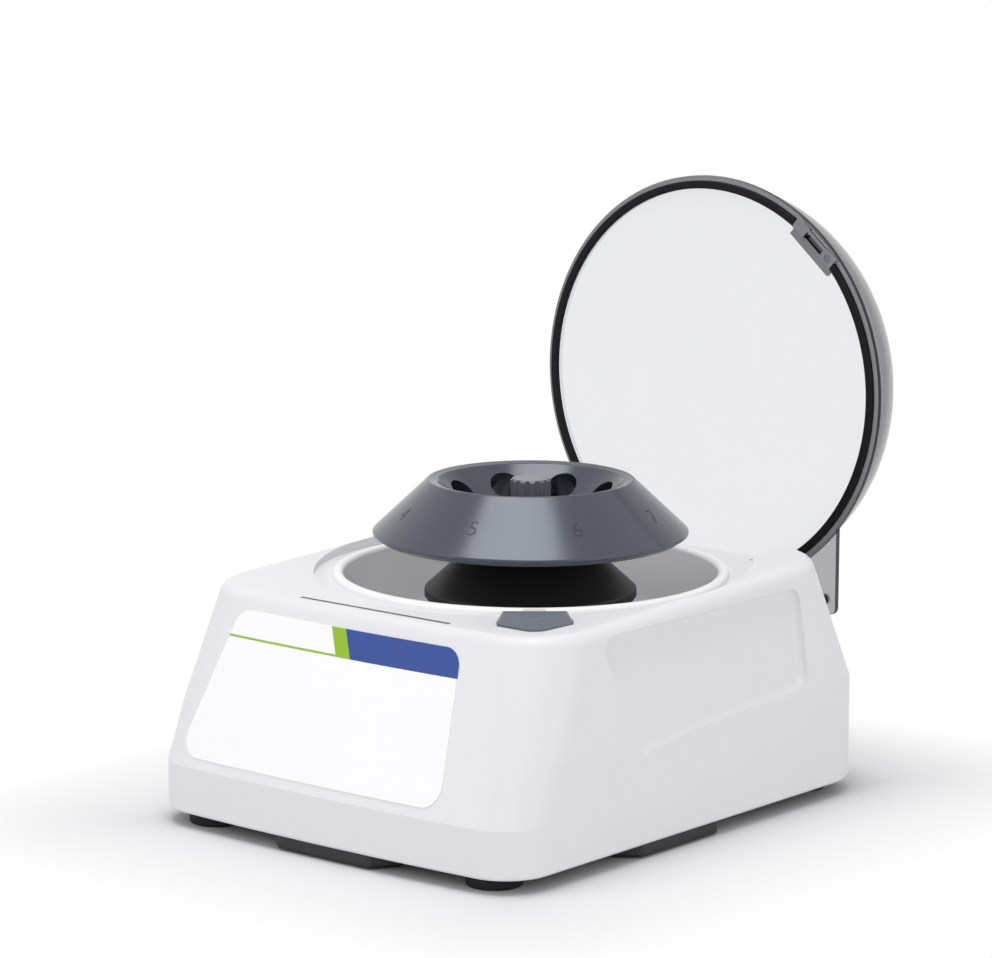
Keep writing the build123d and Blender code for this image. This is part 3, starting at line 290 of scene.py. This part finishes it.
def deck_groove_painted_shade(f):
    """Painted shade along the narrow groove across the front of the deck, a little wider than the groove: its
    share of the paint, and its colour.
    """
    groove_y = -100.47 * MM
    half_length = 34.0 * MM
    half_width = 0.9 * MM
    below_deck = 78.0 * MM
    x, y, z = f.xyz()
    across = abs(y - groove_y) < half_width
    along = abs(x) < half_length
    return across * along * (z > below_deck), tone(134, 131, 135)


def catch_shade(f):
    """Painted shade inside the catch's pocket, which the latch's hook enters: its share, and its colour."""
    latch_azimuth = math.radians(49.4)
    pocket_half = 5.0 * MM
    pocket_inner_radius = 70.6 * MM
    face_depth = 0.4 * MM
    out_x, out_z = math.cos(latch_azimuth), math.sin(latch_azimuth)
    x, y, z = f.xyz((lid_axis.x, catch_low.y, lid_axis.z))
    across = x * out_z - z * out_x
    outward = x * out_x + z * out_z
    return (abs(across) < pocket_half) * (outward > pocket_inner_radius) * (y > face_depth), tone(8, 8, 10)


def rubber(name, colour, roughness=0.72, specular=0.35):
    """Soft black rubber: coarse matt grain with pale dust in soft patches."""
    grain_size = 0.9 * MM
    dust_size = 9 * MM
    dust_contrast, dust_start = 2.2, 0.9
    most_dust = 0.35
    dust_paleness = 2.2
    f = Finish(name)
    grain = f.noise(grain_size, 4.0)
    dust = (f.noise(dust_size, 4.0) * dust_contrast - dust_start).held() * most_dust
    sockets = {
        "Base Color": f.blend(dust, colour, scaled(colour, dust_paleness)),
        "Roughness": roughness + grain.swing(0.2),
        "Specular IOR Level": specular,
        "Normal": f.relief(grain, 0.03 * MM),
    }
    return f.close(f.glossy(sockets))


def turned_metal(name, colour, roughness, axis_point):
    """Metal off a lathe: fine rings round an upright axis, and soft stains."""
    ring_pitch = 0.22 * MM
    stain_size = 6 * MM
    f = Finish(name)
    x, y, z = f.xyz(axis_point)
    radius = (x * x + y * y) ** 0.5
    rings = (radius.wave(ring_pitch) + z.wave(ring_pitch)) * 0.25 + 0.5
    stains = f.noise(stain_size, 3.0)
    sockets = {
        "Base Color": f.blend(stains, scaled(colour, 0.86), scaled(colour, 1.08)),
        "Metallic": 1.0,
        "Roughness": roughness + stains.swing(0.14) + rings.swing(0.06),
        "Normal": f.relief(rings, 0.004 * MM),
    }
    return f.close(f.glossy(sockets))


def drawn_metal(name, colour, roughness, stretch=(1.0, 1.0, 0.08)):
    """Drawn or rolled metal: long faint streaks along one way."""
    streak_size = 0.5 * MM
    stain_size = 8 * MM
    f = Finish(name)
    streaks = f.noise(streak_size, 3.0, stretch)
    stains = f.noise(stain_size, 3.0)
    sockets = {
        "Base Color": f.blend(stains, scaled(colour, 0.85), scaled(colour, 1.1)),
        "Metallic": 1.0,
        "Roughness": roughness + streaks.swing(0.2),
        "Normal": f.relief(streaks, 0.006 * MM),
    }
    return f.close(f.glossy(sockets))


def panel_film():
    """The film on the front: white, with a green line and slanted block and a blue band along its top."""
    band_height = 9.4 * MM
    line_height = 0.75 * MM
    block_left_top = -12.0 * MM
    block_slant = 4.9 * MM
    block_width = 6.5 * MM
    ink_grain = 0.5 * MM
    cloud_size = 35 * MM
    f = Finish("panel_film")
    x, _, z = f.xyz((0.0, 0.0, panel_high.z))
    below_top = z * -1.0
    in_band = below_top < band_height
    in_line = (below_top > band_height - line_height) * in_band
    block_left = below_top * (block_slant / band_height) + block_left_top
    past_left = x > block_left
    past_right = x > block_left + block_width
    blue = in_band * past_right
    green = (in_line + in_band * past_left).held() * (1 - blue)
    ink = f.noise(ink_grain, 2.0)
    clouds = f.noise(cloud_size, 2.0)
    white = f.blend(clouds, tone(250, 250, 252), tone(253, 253, 254))
    with_green = f.blend(green, white, f.blend(ink, tone(144, 185, 40), tone(151, 192, 47)))
    with_blue = f.blend(blue, with_green, f.blend(ink, tone(46, 74, 148), tone(52, 80, 154)))
    sockets = {
        "Base Color": with_blue,
        "Roughness": 0.36 + clouds.swing(0.08) + ink.swing(0.04),
        "Specular IOR Level": 0.25,
        "Normal": f.relief(ink, 0.004 * MM),
    }
    return f.close(f.glossy(sockets))


def wipe_marks(f):
    """Faint long marks of wiping across the clear plastic."""
    return f.noise(1.6 * MM, 3.0, (0.15, 1.0, 1.0))


def clear_gloss(f, smoke, roughness, specular=0.6):
    """The gloss of a clear piece: a shader that stands for its faint smoky body and its shine."""
    cloud_size = 40 * MM
    wipes = wipe_marks(f)
    clouds = f.noise(cloud_size, 2.0)
    sockets = {
        "Base Color": f.blend(clouds, smoke, scaled(smoke, 1.15)),
        "Roughness": roughness + wipes * 0.04 + clouds * 0.03,
        "IOR": 1.5,
        "Specular IOR Level": specular,
        "Normal": f.relief(clouds, 0.02 * MM),
    }
    return f.glossy(sockets)


def clear_lid():
    """The lid's clear plastic: smoky on the dome's outer wall, grey on rim and flap, dark on cut edges."""
    rim_inner_radius = dome_radius - 0.6 * MM
    rim_thickness = 2.2 * MM
    flap_radius = dome_radius + 0.2 * MM
    lip_outer_radius = flange_radius + 0.1 * MM
    smoke_by_turn = ((0.2, 0.25), (0.42, 0.6), (0.62, 0.82), (0.85, 0.70), (1.0, 0.5))
    least_body, grazing_body, wiped_body = 0.02, 0.4, 0.01
    rim_body, edge_body, lip_body = 0.33, 0.6, 0.6
    wall_start, wall_gain = 0.25, 2.5
    edge_falloff = 1.5
    grazing_power = 5.0
    f = Finish("lid_clear")
    x, y, z = f.xyz(lid_axis)
    normal_x, normal_y, normal_z = f.split(f.normal)
    radius = (x * x + z * z) ** 0.5
    outward = (normal_x * x + normal_z * z) / radius
    facing = f.facing()
    outside = 1 - f.add("ShaderNodeNewGeometry", output="Backfacing")
    in_rim = ((radius > rim_inner_radius) * (y < rim_thickness) + (radius > flap_radius)).held()
    in_lip = in_rim * (radius < lip_outer_radius)
    cut_edge = (1 - abs(normal_y) * edge_falloff).held() * outside
    outer_wall = ((outward - wall_start) * wall_gain).held() * outside
    smoke = f.ramp(facing, *[(turn, (level, level, level)) for turn, level in smoke_by_turn])
    dome_share = smoke * outer_wall + facing**grazing_power * grazing_body + least_body
    rim_share = cut_edge * edge_body + in_lip * lip_body + rim_body
    share = (dome_share + (rim_share - dome_share) * in_rim + wipe_marks(f) * wiped_body).held()
    gloss = clear_gloss(f, (0.10, 0.10, 0.11), 0.08)
    lip = clear_gloss(f, (0.24, 0.24, 0.25), 0.3, 0.3)
    edge = clear_gloss(f, (0.03, 0.03, 0.035), 0.3, 0.12)
    body = f.mix(in_rim * cut_edge, f.mix(in_lip, gloss, lip), edge)
    return f.close(f.mix(share, f.see_through((0.93, 0.932, 0.94)), body))


def clear_arm():
    """The clear arms between lid and hinge: grey through the wide faces, nearly black on the cut edges."""
    edge_body, grazing_body = 0.88, 0.1
    face_loss = 0.70
    face_gain = 4.0
    film_size = 2.0 * MM
    f = Finish("arm_clear")
    normal_x, _, _ = f.split(f.normal)
    wide_face = (abs(normal_x) * face_gain - (face_gain - 1)).held()
    film = f.noise(film_size, 3.0)
    share = (edge_body - wide_face * face_loss + f.facing() * grazing_body + film.swing(0.05)).held()
    gloss = clear_gloss(f, (0.05, 0.05, 0.055), 0.12)
    return f.close(f.mix(share, f.see_through((0.86, 0.86, 0.875)), gloss))


def solder_mask():
    """A green circuit board: lacquer over copper tracks, with a fine weave of glass under it."""
    track_pattern = {
        "Scale": 160.0,
        "Mortar Size": 0.03,
        "Color1": (0.0, 0.0, 0.0),
        "Color2": (0.1, 0.1, 0.1),
        "Mortar": (1.0, 1.0, 1.0),
    }
    weave_size = 0.4 * MM
    f = Finish("solder_mask")
    tracks = f.add("ShaderNodeTexBrick", {"offset": 0.5}, {"Vector": f.place, **track_pattern}, "Fac")
    weave = f.noise(weave_size, 1.0)
    sockets = {
        "Base Color": f.blend(tracks * 0.6 + weave * 0.2, tone(18, 74, 44), tone(52, 128, 78)),
        "Roughness": 0.3 + weave * 0.1,
        "Normal": f.relief(tracks, 0.03 * MM),
    }
    return f.close(f.glossy(sockets))


def wound_core():
    """The motor's turning core: copper wire wound between dark steel plates."""
    wire_pitch = 0.45 * MM
    stain_size = 3 * MM
    f = Finish("wound_core")
    _, _, z = f.xyz()
    turns = z.wave(wire_pitch) * 0.5 + 0.5
    stains = f.noise(stain_size, 3.0)
    sockets = {
        "Base Color": f.blend(turns * 0.6 + stains * 0.4, tone(96, 52, 30), tone(196, 116, 66)),
        "Metallic": 0.9,
        "Roughness": 0.34 + stains * 0.12,
        "Normal": f.relief(turns, 0.08 * MM),
    }
    return f.close(f.glossy(sockets))


finishes = {
    # casing: white plastic, with painted shade along the deck's groove
    "casing": moulded(
        "casing_white", tone(231, 231, 234), 0.42, depth=0.006 * MM, mottle=0.010, painted_shade=deck_groove_painted_shade
    ),
    # painted light: the bowl is the casing's white plastic, set lighter than the casing to stand for light
    # inside the bowl
    "bowl": moulded("bowl_white", tone(246, 246, 247), 0.36, depth=0.004 * MM, mottle=0.010),
    "tray": moulded("tray_black", tone(26, 26, 29), 0.5, grain=0.5 * MM, depth=0.015 * MM, mottle=0.12),
    "panel": panel_film(),
    "rotor": moulded(
        "rotor_blue_grey",
        tone(50, 53, 67),
        0.22,
        depth=0.003 * MM,
        mottle=0.03,
        specular=0.8,
        sheen=(0.88, 0.93, 1.0),
    ),
    "knob": moulded(
        "knob_blue_grey", tone(100, 102, 112), 0.34, depth=0.006 * MM, mottle=0.04, specular=0.6
    ),
    "button": moulded("button_blue_grey", tone(104, 108, 118), 0.42, depth=0.006 * MM, mottle=0.03),
    "cover": moulded("cover_black", tone(20, 18, 19), 0.55, grain=0.45 * MM, depth=0.012 * MM, mottle=0.1),
    "lid": clear_lid(),
    "arm": clear_arm(),
    "catch": moulded(
        "catch_grey",
        tone(114, 115, 124),
        0.26,
        depth=0.004 * MM,
        mottle=0.06,
        specular=0.7,
        painted_shade=catch_shade,
    ),
    "seal": rubber("seal_black", tone(13, 12, 15), 0.55, 0.15),
    "magnet": moulded("magnet_coat", tone(106, 107, 116), 0.35, grain=0.2 * MM, mottle=0.06),
    "foot": rubber("foot_black", tone(20, 21, 24)),
    "fitting": moulded("fitting_black", tone(30, 30, 33), 0.38, grain=0.3 * MM, mottle=0.1),
    "slide": moulded("slide_white", tone(222, 222, 224), 0.4, mottle=0.03),
    "cap": moulded("cap_black", tone(34, 34, 36), 0.45, mottle=0.1),
    "ferrite": moulded(
        "ferrite_grey", tone(58, 57, 58), 0.6, grain=0.25 * MM, depth=0.03 * MM, mottle=0.2
    ),
    "parts": moulded("parts_black", tone(32, 32, 34), 0.5, grain=0.2 * MM, mottle=0.15),
    "board": solder_mask(),
    "copper": wound_core(),
    "screw": drawn_metal("screw_steel", (0.55, 0.55, 0.56), 0.32),
    "bright": drawn_metal("bright_steel", (0.66, 0.66, 0.68), 0.24, (1.0, 1.0, 0.2)),
    "can": drawn_metal("motor_can_steel", (0.52, 0.52, 0.54), 0.36),
    "hub": turned_metal("hub_aluminium", (0.74, 0.74, 0.76), 0.28, spindle),
}
worn_by = {
    "casing": ["housing_top"],
    "bowl": ["rotor_bowl"],
    "tray": ["base_tray"],
    "panel": ["front_panel"],
    "rotor": ["rotor"],
    "knob": ["rotor_knob"],
    "button": ["release_button"],
    "cover": ["motor_cover"],
    "lid": ["lid_dome"],
    "arm": ["lid_arm_left", "lid_arm_right"],
    "catch": ["lid_catch"],
    "seal": ["lid_seal", "motor_dampers"],
    "foot": ["foot_front_left", "foot_front_right", "foot_rear_left", "foot_rear_right"],
    "fitting": ["power_inlet", "power_switch_frame", "power_switch_rocker"],
    "slide": ["latch_hook", "latch_cover"],
    "cap": ["motor_end_cap"],
    "ferrite": ["motor_magnets"],
    "parts": ["board_parts", "lid_sensor"],
    "board": ["control_board"],
    "copper": ["motor_armature"],
    "screw": [
        "lid_arm_screws",
        "latch_screws",
        "motor_screws",
        "bowl_screws",
        "board_screws",
        "base_screws",
        "foot_screws",
    ],
    "bright": ["hinge_pins", "latch_spring", "button_spring", "motor_shaft", "motor_bearings"],
    "magnet": ["lid_magnet"],
    "can": ["motor_can"],
    "hub": ["rotor_hub"],
}
for finish, names in worn_by.items():
    for name in names:
        for slot in cad[name].material_slots:
            slot.material = finishes[finish]
unfinished = sorted(set(cad) - {name for names in worn_by.values() for name in names})
assert not unfinished, unfinished


# Figures laid on the solids
def place_piece(name, shape, material, body):
    """Makes one visible piece of a bmesh and lets it ride on a body."""
    mesh = bpy.data.meshes.new(name)
    shape.to_mesh(mesh)
    shape.free()
    mesh.materials.append(material)
    piece = bpy.data.objects.new(name, mesh)
    bpy.context.scene.collection.objects.link(piece)
    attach(piece, body)


def divide_finely(mesh, longest):
    """Cuts a mesh into triangles with no side much over a length, so that it can follow a curved surface."""
    rounds = 5
    shape = bmesh.new()
    shape.from_mesh(mesh)
    for _ in range(rounds):
        long_sides = [edge for edge in shape.edges if edge.calc_length() > longest]
        if long_sides:
            bmesh.ops.subdivide_edges(shape, edges=long_sides, cuts=1)
        bmesh.ops.triangulate(shape, faces=shape.faces[:])
    shape.to_mesh(mesh)
    shape.free()


def flat_figure(text, height, thinner):
    """The flat mesh of a figure about that high, with its middle at the origin and its strokes thinned."""
    size_per_height = 1.38
    longest_side = 0.7 * MM
    curve = bpy.data.curves.new("figure", "FONT")
    curve.body = text
    curve.size = height * size_per_height
    curve.align_x, curve.align_y = "CENTER", "CENTER"
    curve.offset = -thinner
    curve.resolution_u = 6
    carrier = bpy.data.objects.new("figure", curve)
    bpy.context.scene.collection.objects.link(carrier)
    bpy.context.view_layer.update()
    flat = bpy.data.meshes.new_from_object(carrier.evaluated_get(bpy.context.evaluated_depsgraph_get()))
    bpy.data.objects.remove(carrier)
    bpy.data.curves.remove(curve)
    divide_finely(flat, longest_side)
    return flat


def surface_of(node):
    """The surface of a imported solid, for finding the place on it that is nearest to a point."""
    return BVHTree.FromObject(cad[node], bpy.context.evaluated_depsgraph_get())


def settle(flat, surface, stand_off, whole):
    """Moves a figure's corners onto a surface, that much proud of it, and adds the figure to a bmesh."""
    for vertex in flat.vertices:
        nearest, normal, _, _ = surface.find_nearest(vertex.co)
        vertex.co = nearest + normal * stand_off
    whole.from_mesh(flat)
    bpy.data.meshes.remove(flat)


def place_numbers():
    """The numbers 1 to 8 on the rotor's cone below its wells, as one thin mesh that follows the cone."""
    count = 8
    first_azimuth = math.radians(14.6)
    first_digit = 7
    figure_height = 6.4 * MM
    thinner = 0.17 * MM
    cone_height = 18.6 * MM
    crest_radius = 36.4 * MM
    middle_radius = 47.2 * MM
    slope = math.atan2(cone_height, rotor_radius - crest_radius)
    stand_off = 0.06 * MM
    rotor_surface = surface_of("rotor")
    whole = bmesh.new()
    for k in range(count):
        flat = flat_figure(str((first_digit - 1 + k) % count + 1), figure_height, thinner)
        azimuth = first_azimuth + 2 * math.pi * k / count
        for vertex in flat.vertices:
            radius = middle_radius - vertex.co.y * math.cos(slope)
            height = rotor_high.z - (radius - crest_radius) * math.tan(slope)
            turn = azimuth + vertex.co.x / radius
            vertex.co = Vector((radius * math.cos(turn), radius * math.sin(turn), height)) + spindle
        settle(flat, rotor_surface, stand_off, whole)
    ink = moulded("number_grey", tone(30, 32, 40), 0.45)
    place_piece("rotor_place_numbers", whole, ink, "rotor_set")


def place_switch_marks():
    """White I and O on the power switch: pressed in at O it is off, as it rests."""
    figure_height = 2.5 * MM
    stand_off = 0.05 * MM
    lift_share = 0.24
    centre = (rocker_low + rocker_high) / 2
    half_middle = (rocker_high.z - rocker_low.z) * lift_share
    rocker_surface = surface_of("power_switch_rocker")
    whole = bmesh.new()
    for text, lift in (("I", half_middle), ("O", -half_middle)):
        flat = flat_figure(text, figure_height, 0.0)
        for vertex in flat.vertices:
            vertex.co = (centre.x - vertex.co.x, rocker_high.y, centre.z + lift + vertex.co.y)
        settle(flat, rocker_surface, stand_off, whole)
    ink = moulded("mark_white", tone(214, 214, 212), 0.5)
    place_piece("power_switch_marks", whole, ink, "rocker")


place_numbers()
place_switch_marks()


# Floor, light and camera
def floor_finish():
    """A pale floor that keeps the object's shadow and runs out to white a little way off; the grey close round
    the object is partly that real shadow and partly painted shade.
    """
    painted_shade_reach = 75 * MM
    fade_power = 0.8
    cloud_size = 350 * MM
    half_width = (cad_box[1][0] - cad_box[0][0]) / 2
    front_y = panel_low.y
    rear_y = arm_high.y
    f = Finish("studio_floor")
    clouds = f.noise(cloud_size, 2.0)
    x, y, _ = f.xyz((0.0, (front_y + rear_y) / 2, 0.0))
    past_side = (abs(x) - half_width).at_least(0.0)
    past_end = (abs(y) - (rear_y - front_y) / 2).at_least(0.0)
    distance = (past_side * past_side + past_end * past_end) ** 0.5
    # painted shade: the floor stays grey near the object's footprint and fades to white with distance from it
    far = (distance / painted_shade_reach).held() ** fade_power
    sockets = {
        "Base Color": f.blend(clouds, tone(224, 223, 225), tone(228, 227, 229)),
        "Roughness": 0.9,
        "Specular IOR Level": 0.1,
    }
    white = f.add("ShaderNodeEmission", None, {"Color": (1.0, 1.0, 1.0), "Strength": 1.0})
    return f.close(f.mix(f.seen_rays() * far, f.glossy(sockets), white))


def make_floor():
    half_size = 4.0
    mesh = bpy.data.meshes.new("studio_floor")
    shape = bmesh.new()
    bmesh.ops.create_grid(shape, x_segments=8, y_segments=8, size=half_size)
    shape.to_mesh(mesh)
    shape.free()
    mesh.materials.append(floor_finish())
    floor = bpy.data.objects.new("studio_floor", mesh)
    bpy.context.scene.collection.objects.link(floor)


def make_world():
    """An even studio: a soft grey dome, a little brighter overhead, that shows as white where it is seen."""
    world = bpy.data.worlds.new("studio")
    world.use_nodes = True
    g = Graph(world.node_tree)
    _, _, height = g.split(g.add("ShaderNodeTexCoord", output="Generated"))
    sky = g.ramp(height, (0.0, (0.58, 0.58, 0.585)), (0.85, (0.60, 0.60, 0.605)))
    dome = g.add("ShaderNodeBackground", None, {"Color": sky, "Strength": 1.0})
    white = g.add("ShaderNodeBackground", None, {"Color": (1.0, 1.0, 1.0), "Strength": 1.0})
    g.add("ShaderNodeOutputWorld", None, {"Surface": g.mix(g.seen_rays(), dome, white)})
    bpy.context.scene.world = world


def softbox(name, place, aim, size, power):
    """A rectangular studio light that looks at a point."""
    lamp = bpy.data.lights.new(name, "AREA")
    lamp.shape = "RECTANGLE"
    lamp.size, lamp.size_y = size
    lamp.energy = power
    stand = bpy.data.objects.new(name, lamp)
    stand.location = place
    stand.rotation_euler = (aim - place).to_track_quat("-Z", "Y").to_euler()
    bpy.context.scene.collection.objects.link(stand)


def make_softboxes():
    """Soft light from above, from the camera's side, from the front left and from the right.

    Places are in metres from the object's middle, sizes in metres and powers in watts.
    """
    middle_height = 80 * MM
    middle = spindle + UP * middle_height
    towards_camera = Vector((0.637, -0.771, 0.0))
    across_view = Vector((0.771, 0.637, 0.0))
    overhead = middle + towards_camera * 0.18 - across_view * 0.15 + UP * 1.3
    softbox("overhead", overhead, middle, (1.0, 0.6), 7.7)
    softbox("camera_side", middle + towards_camera * 1.7 + UP * 0.3, middle, (0.8, 0.8), 2.6)
    softbox("front_left", middle + Vector((-0.9, -1.4, 0.35)), middle, (1.0, 1.2), 3.8)
    softbox("right", middle + Vector((1.5, 0.15, 0.35)), middle, (0.9, 0.9), 2.9)


def make_camera():
    """The photograph's view: a long lens from the front right, a little above."""
    photo_width = 992
    focal_pixels = 4351.0
    from_spindle = Vector((0.96497, -1.16661, 0.39148))
    degrees_down = 10.31
    degrees_turned = 40.06
    lens = bpy.data.cameras.new("photo_camera")
    lens.sensor_fit = "HORIZONTAL"
    lens.sensor_width = 36.0
    lens.lens = focal_pixels / photo_width * lens.sensor_width
    lens.clip_start, lens.clip_end = 0.05, 30.0
    camera = bpy.data.objects.new("photo_camera", lens)
    camera.location = from_spindle + spindle
    camera.rotation_euler = (math.radians(90 - degrees_down), 0.0, math.radians(degrees_turned))
    bpy.context.scene.collection.objects.link(camera)
    bpy.context.scene.camera = camera


make_floor()
make_world()
make_softboxes()
make_camera()

bpy.context.scene.view_settings.view_transform = "Standard"
